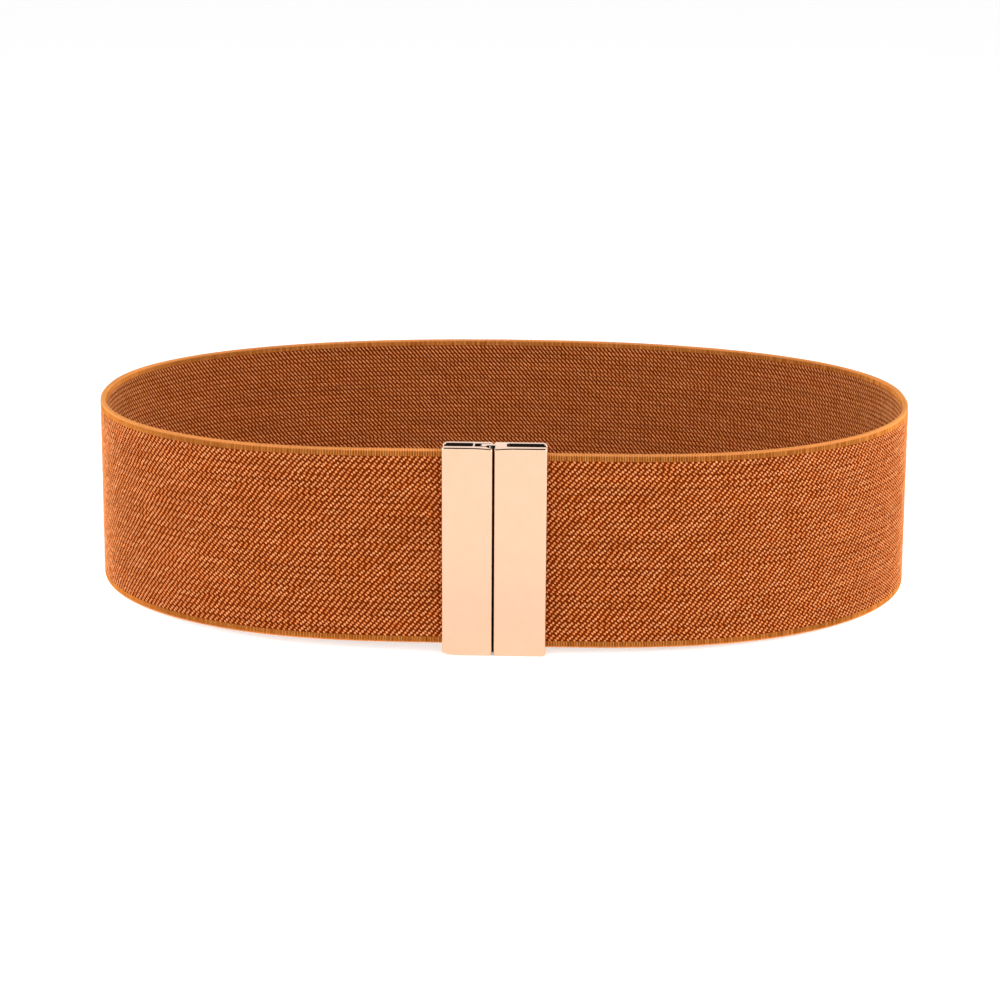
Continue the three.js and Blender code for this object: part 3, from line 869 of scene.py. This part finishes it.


@dataclass
class HookClasp:
    """The two clasp halves: C shaped castings that grip the band, joined by a hook in a channel.

    Sizes are in millimetres.
    """

    line: BeltLine = field(default_factory=BeltLine)
    head_room: float = 1.9  # the clasp stands this far above the band's highest corner
    upright_round: float = 0.6
    pocket_round: float = 0.8
    block_round: float = 1.4  # the right pocket's corner beside the block
    tip_round: float = 0.4
    back_round: float = 2.0
    end_round: float = 0.22
    front_reach: float = 0.8  # the rounding of the plates' ends reaches this far back from the front
    front_drop: float = 0.6  # and this far down from the end
    front_deep: float = 1.1  # and fades out at this depth
    corner_round: float = 0.9
    worn_reach: float = 7.0  # how far the worn corner of the left plate reaches
    worn_lift: float = 0.85
    worn_power: float = 2.2  # how steeply that wear grows towards the corner
    front_fade: float = 0.4  # the wear ends within this distance of the plates' back
    rubbed_top: float = 0.45  # metal rubbed off the plates' top edges beside the gap
    rubbed_reach: float = 4.2
    dark_reflection_spans: tuple[tuple[float, float], ...] = ((-19.0, -4.6), (1.2, 19.8))  # spans along the top edge that carry a painted dark reflection
    reflection_steps: int = 2  # how many steps of that edge's rounding carry the painted reflection
    shade_start: float = 1.35  # the painted shade in the slot starts this far round the plates' edge
    corner_reach: float = 3.0  # the corners' rounding is taken up over this width
    support: float = 0.03  # narrow flat beside each rounding, which keeps the big faces flat
    round_steps: int = 5
    front_flat: float = 0.02  # what lies no deeper than this counts as the plates' front
    sharp_from: float = 32.0  # degrees between two faces, above which their edge stays sharp
    cap_merge: float = 1e-5
    # Heights of the rings, and places in X along the plates' front, that the wear and the rounding move.
    heights: tuple[float, ...] = (0.25, 0.5, 0.66, 0.85, 1.1, 1.5, 2.0, 2.06)
    left_front: tuple[float, ...] = (-1.8, -3.0, -4.5, -6.0, -8.0, -12.5, -14.0, -15.5, -17.0)
    right_front: tuple[float, ...] = (1.8, 3.0, 4.5, 6.0, 8.0)

    def __post_init__(self) -> None:
        """Takes the clasp's height and the place of its face from the band that it holds."""
        line = self.line
        self.walls = line.walls
        self.face = line.clasp_face
        lift = max(line.lift_left, line.lift_right) + line.rise
        self.height = lift + line.width + line.spread + self.head_room
        self.wear_end = self.heights[-1] + 0.01  # just past the last of these rings

    def rounded(self, corners: list[Corner]) -> tuple[list[Vector], list[bool]]:
        """Rounds a closed profile's corners with short curves.

        Args:
            corners: The profile's corners in order.

        Returns:
            Points of X and depth in millimetres, and for each whether the wall that follows it gets the
            painted shade.
        """
        points: list[Vector] = []
        recess_shade: list[bool] = []
        for i, corner in enumerate(corners):
            here = Vector((corner.x, corner.depth))
            before, after = corners[i - 1], corners[(i + 1) % len(corners)]
            if not corner.round:
                points.append(here)
                recess_shade.append(corner.recess_shade)
                continue
            back = (Vector((before.x, before.depth)) - here).normalized()
            on = (Vector((after.x, after.depth)) - here).normalized()
            start, end = here + back * corner.round, here + on * corner.round
            half_cosine = math.sqrt((1 + back.dot(on)) / 2)
            centre = here + (back + on).normalized() * (corner.round / half_cosine)
            one, two = start - centre, end - centre
            sweep = one.angle(two)
            whole = math.sin(sweep)
            points.append(start + back * self.support)
            recess_shade.append(before.recess_shade)
            for k in range(self.round_steps + 1):
                t = k / self.round_steps
                arm = one * math.sin((1 - t) * sweep) + two * math.sin(t * sweep)
                points.append(centre + arm / whole)
                recess_shade.append(before.recess_shade and corner.recess_shade)
            points.append(end + on * self.support)
            recess_shade.append(corner.recess_shade)
        return points, recess_shade

    def inset(self, points: list[Vector], amount: float) -> list[Vector]:
        """Moves a closed profile's outline inwards.

        Args:
            points: The outline, with its inside on the left of its course.
            amount: How far, in millimetres.

        Returns:
            The moved outline, with as many points.
        """
        moved = []
        for i, here in enumerate(points):
            before, after = points[i - 1], points[(i + 1) % len(points)]
            one, two = (here - before).normalized(), (after - here).normalized()
            n1, n2 = Vector((-one.y, one.x)), Vector((-two.y, two.x))
            moved.append(here + (n1 + n2) * (amount / max(1 + n1.dot(n2), 0.5)))
        return moved

    def levels(self) -> list[tuple[float, float]]:
        """Gives the heights at which a half has a ring, each with how far the ring is set in."""
        low = [(0.0, self.end_round + self.support)]
        for k in range(self.round_steps + 1):
            turn = math.radians(90 * k / self.round_steps)
            low.append((self.end_round * (1 - math.cos(turn)), self.end_round * (1 - math.sin(turn))))
        low += [(z, 0.0) for z in self.heights]
        return low + [(self.height - z, inset) for z, inset in reversed(low)]

    def corner_shift(self, z: float) -> float:
        """Tells how far a rounded front corner is in from the side at a height."""
        away = min(z, self.height - z)
        if away >= self.corner_round:
            return 0.0
        return self.corner_round - math.sqrt(self.corner_round ** 2 - (self.corner_round - away) ** 2)

    def placed(self, point: Vector, z: float, set_in: float, sides: tuple[float, float]) -> Vector:
        """Places a profile point at a height, with the corners rounded and the worn edges taken down.

        Args:
            point: The point, already set in for the rounded end.
            z: The height.
            set_in: How far the ring is set in.
            sides: Lowest and highest X of the half's upright corners.

        Returns:
            The point in the belt's frame, in millimetres.
        """
        x, shift = point.x, max(self.corner_shift(z) - set_in, 0)
        for side, way in ((sides[0], 1), (sides[1], -1)):
            inside = (point.x - side) * way
            if inside < self.corner_reach:
                x += way * shift * (1 - (inside - set_in) / (self.corner_reach - set_in))
        broken = min(max(1 - (point.y - set_in) / self.front_deep, 0), 1)
        y = point.y + (self.front_reach / self.end_round - 1) * set_in * broken
        away = min(z, self.height - z)
        grown = (self.front_drop - self.end_round) * broken
        if away < self.end_round:
            drop = grown * away / self.end_round
        else:
            drop = grown * max(self.front_deep - away, 0) / (self.front_deep - self.end_round)
        z += drop if z < self.height / 2 else -drop
        plate, corner, fade = self.walls.plate, self.walls.left_side, self.front_fade
        front = min(max((plate + fade - point.y) / (2 * fade), 0), 1)
        if z < self.wear_end and sides[0] == corner:
            worn = max(1 - (point.x - corner) / self.worn_reach, 0)
            z += self.worn_lift * worn ** self.worn_power * front * (1 - z / self.wear_end)
        if z > self.height - self.wear_end:
            rubbed = math.exp(-(abs(point.x) / self.rubbed_reach) ** 2) * max(1 - point.y / plate, 0)
            z -= self.rubbed_top * rubbed * (1 - (self.height - z) / self.wear_end)
        return Vector((x, self.face + y, z))

    def half(self, name: str, corners: list[Corner], sides: tuple[float, float],
             finishes: list[bpy.types.Material]) -> bpy.types.Object:
        """Raises one half from its profile, with rounded ends and corners.

        Args:
            name: Name of the half.
            corners: Its profile.
            sides: Lowest and highest X of its upright corners.
            finishes: The plating and the near black alloy colour that paints shade and reflection.

        Returns:
            The half as a piece with a closed mesh.
        """
        outline, recess_shade = self.rounded(corners)
        solid = bmesh.new()
        rings = []
        for z, set_in in self.levels():
            ring = [self.placed(point, z, set_in, sides) * MM for point in self.inset(outline, set_in)]
            rings.append([solid.verts.new(place) for place in ring])
        # A dark reflection is painted on these walls of the top edge's rounding, in the near black alloy
        # colour.
        brow_start = len(rings) - self.round_steps - 1
        brow = range(brow_start, brow_start + self.reflection_steps)
        for j, (low, high) in enumerate(zip(rings, rings[1:])):
            for k in range(len(outline)):
                n = (k + 1) % len(outline)
                wall = solid.faces.new((low[k], low[n], high[n], high[k]))
                wall.material_index = int(recess_shade[k] or (j in brow and self.paints_reflection(outline[k], outline[n])))
        cap = [Vector((v.co.x, v.co.y)) / MM for v in rings[0]]
        _, _, flat, origin, _, _ = delaunay_2d_cdt(cap, [], [list(range(len(cap)))], 1, self.cap_merge)
        for ring in (rings[0], rings[-1]):
            for three in flat:
                solid.faces.new([ring[origin[i][0]] for i in three])
        bmesh.ops.recalc_face_normals(solid, faces=solid.faces)
        mesh = bpy.data.meshes.new(name)
        solid.to_mesh(mesh)
        solid.free()
        for finish in finishes:
            mesh.materials.append(finish)
        mesh.polygons.foreach_set("use_smooth", [True] * len(mesh.polygons))
        mesh.set_sharp_from_angle(angle=math.radians(self.sharp_from))
        piece = bpy.data.objects.new(name, mesh)
        bpy.context.scene.collection.objects.link(piece)
        return piece

    def paints_reflection(self, one: Vector, two: Vector) -> bool:
        """Tells whether a dark reflection is painted along the top edge between two points of the plates'
        front.
        """
        middle = (one.x + two.x) / 2
        in_front = max(one.y, two.y) < self.front_flat
        return in_front and any(start < middle < end for start, end in self.dark_reflection_spans)

    def plate_corners(self, edge: float, stations: tuple[float, ...]) -> list[Corner]:
        """Gives the plate's front from its edge at the gap, with the stations that the wear moves."""
        front = [Corner(edge, self.front_deep), Corner(edge, 0, self.upright_round)]
        return front + [Corner(x, 0) for x in stations]

    def pocket_corners(self, side: float, inner: float, inner_round: float) -> list[Corner]:
        """Gives the plate's outer edge, the slot, the pocket, the curl and the back's outer corner of a half.

        Args:
            side: The half's outer side.
            inner: The pocket's inner wall.
            inner_round: Round of the pocket's corner beside that wall.

        Returns:
            The corners, from the plate's front to the back.
        """
        way, walls = math.copysign(1, inner - side), self.walls
        back, slot_end, tip = walls.plate + walls.pocket_depth, walls.plate + walls.slot, self.tip_round
        return [
            Corner(side, 0, self.upright_round), Corner(side, walls.plate, tip),
            Corner(side + way * self.shade_start, walls.plate, 0, True),
            Corner(inner, walls.plate, self.pocket_round, True), Corner(inner, back, inner_round, True),
            Corner(side + way * walls.curl, back, self.pocket_round, True),
            Corner(side + way * walls.curl, slot_end, tip), Corner(side, slot_end, tip),
            Corner(side, walls.depth, self.back_round)]

    def left_corners(self) -> list[Corner]:
        """Gives the left half's profile: channel, lip, plate and pocket."""
        walls, edge, upright = self.walls, self.walls.left_edge, self.upright_round
        lip_back = walls.neck_front - walls.lip_clearance
        return [
            Corner(walls.channel_start, walls.channel_back, 0, True),
            Corner(walls.channel_start, walls.plate, 0, True), Corner(walls.head_inner, walls.plate, 0, True),
            Corner(walls.lip_inner, walls.plate - walls.undercut, 0, True),
            Corner(walls.lip_inner, lip_back, 0, True), Corner(edge, lip_back, self.tip_round, True),
            *self.plate_corners(edge, self.left_front),
            *self.pocket_corners(walls.left_side, walls.left_inner, self.pocket_round),
            Corner(edge, walls.depth, upright), Corner(edge, walls.channel_back, self.tip_round, True)]

    def right_corners(self) -> list[Corner]:
        """Gives the right half's profile: hook, block, plate and pocket."""
        walls, edge, upright = self.walls, self.walls.right_edge, self.upright_round
        head_front = walls.plate + walls.slide_fit
        return [
            Corner(edge, walls.depth, upright), Corner(edge, walls.neck_back, 0, True),
            Corner(walls.hook_tip, walls.neck_back, upright, True),
            Corner(walls.hook_tip, head_front, upright, True), Corner(walls.head_inner, head_front, 0, True),
            Corner(walls.head_inner + walls.hook_slope, walls.neck_front, 0, True),
            Corner(edge, walls.neck_front, 0, True),
            *self.plate_corners(edge, self.right_front),
            *self.pocket_corners(walls.right_side, walls.right_inner, self.block_round)]

    def build(self) -> None:
        """Builds both halves and dresses them."""
        finishes = [RoseGoldPlate().build(), PaintedShadeAlloy().build()]
        walls = self.walls
        for name, corners, sides, node in (
                ("left_half", self.left_corners(), (walls.left_side, walls.left_edge), "clasp_left"),
                ("right_half", self.right_corners(), (walls.hook_tip, walls.right_side), "clasp_right")):
            if self.turns_right(corners):
                corners = [Corner(c.x, c.depth, c.round, corners[i - 1].recess_shade)
                           for i, c in enumerate(corners)][::-1]
            dress(self.half(name, corners, sides, finishes), node)

    def turns_right(self, corners: list[Corner]) -> bool:
        """Tells whether a profile runs clockwise."""
        return sum(a.x * b.depth - b.x * a.depth for a, b in zip(corners, corners[1:] + corners[:1])) < 0


# Studio


@dataclass(frozen=True)
class Softbox:
    """One soft studio light: where it hangs in metres, its size and its power in watts."""

    name: str
    place: tuple[float, float, float]
    size: tuple[float, float]
    power: float


@dataclass
class Studio:
    """Lit table, softboxes and the camera that took the photograph, with sizes and places in metres."""

    floor_half: float = 14.0
    walls: float = 1.17  # brightness of the room's white walls
    ceiling: float = 0.06  # and of its darker ceiling, which draws the dark line along polished top edges
    ceiling_from: float = 0.63  # sine of the angle above the horizon where the ceiling starts
    ceiling_full: float = 0.77
    lights: tuple[Softbox, ...] = (
        Softbox("left_softbox", (-1.35, -0.35, 0.75), (1.0, 1.3), 11.5),
        Softbox("right_softbox", (1.35, -0.3, 0.75), (1.0, 1.3), 14.0),
        Softbox("front_softbox", (0.0, -2.05, 0.85), (1.6, 0.7), 3.5),
    )
    azimuth: float = 1.8  # degrees, like the next two
    elevation: float = 15.0
    roll: float = -0.31
    distance: float = 0.95
    target: tuple[float, float, float] = (-0.00147, 0.002875, 0.02735)
    lens: float = 78.59  # focal length in millimetres

    def build(self) -> None:
        """Sets the floor, the room's light, the softboxes and the camera."""
        scene = bpy.context.scene
        scene.view_settings.view_transform = "Standard"
        sheet = bmesh.new()
        bmesh.ops.create_grid(sheet, x_segments=4, y_segments=4, size=self.floor_half)
        mesh = bpy.data.meshes.new("table_top")
        sheet.to_mesh(mesh)
        sheet.free()
        mesh.materials.append(LitAcrylic().build())
        floor = bpy.data.objects.new("table_top", mesh)
        scene.collection.objects.link(floor)
        world = bpy.data.worlds.new("white_room")
        world.use_nodes = True
        sky = world.node_tree
        node = partial(add_node, sky)
        way = node("ShaderNodeTexCoord")
        up = node("ShaderNodeSeparateXYZ", {}, {0: way.outputs["Generated"]})
        bright = node("ShaderNodeMapRange", {"interpolation_type": "SMOOTHSTEP"},
                      {"Value": up.outputs["Z"], "From Min": self.ceiling_from, "From Max": self.ceiling_full,
                       "To Min": self.walls, "To Max": self.ceiling})
        sky.nodes["Background"].inputs["Color"].default_value = srgb("#ffffff")
        sky.links.new(bright.outputs[0], sky.nodes["Background"].inputs["Strength"])
        scene.world = world
        for box in self.lights:
            light = bpy.data.lights.new(box.name, "AREA")
            light.shape, light.energy = "RECTANGLE", box.power
            light.size, light.size_y = box.size
            lamp = bpy.data.objects.new(box.name, light)
            place = Vector(box.place)
            lamp.matrix_world = Matrix.Translation(place) @ place.to_track_quat("Z", "Y").to_matrix().to_4x4()
            scene.collection.objects.link(lamp)
        self.set_camera()

    def set_camera(self) -> None:
        """Places the camera at the photograph's angle, distance and tilt."""
        turn, rise = math.radians(self.azimuth), math.radians(self.elevation)
        back = Vector((math.sin(turn) * math.cos(rise), -math.cos(turn) * math.cos(rise), math.sin(rise)))
        across = (-back).cross(Vector((0, 0, 1))).normalized()
        above = across.cross(-back)
        roll = math.radians(self.roll)
        right = across * math.cos(roll) - above * math.sin(roll)
        up = across * math.sin(roll) + above * math.cos(roll)
        data = bpy.data.cameras.new("camera")
        data.lens, data.clip_start, data.clip_end = self.lens, 0.05, 60.0
        camera = bpy.data.objects.new("camera", data)
        turned = Matrix((right, up, back)).transposed().to_4x4()
        camera.matrix_world = Matrix.Translation(Vector(self.target) + back * self.distance) @ turned
        bpy.context.scene.collection.objects.link(camera)
        bpy.context.scene.camera = camera


def main() -> None:
    """Builds the belt and its studio in order."""
    logging.basicConfig(level=logging.INFO, format="%(name)s: %(message)s")
    Studio().build()
    WovenBand().build()
    HookClasp().build()


if __name__ == "__main__":
    main()
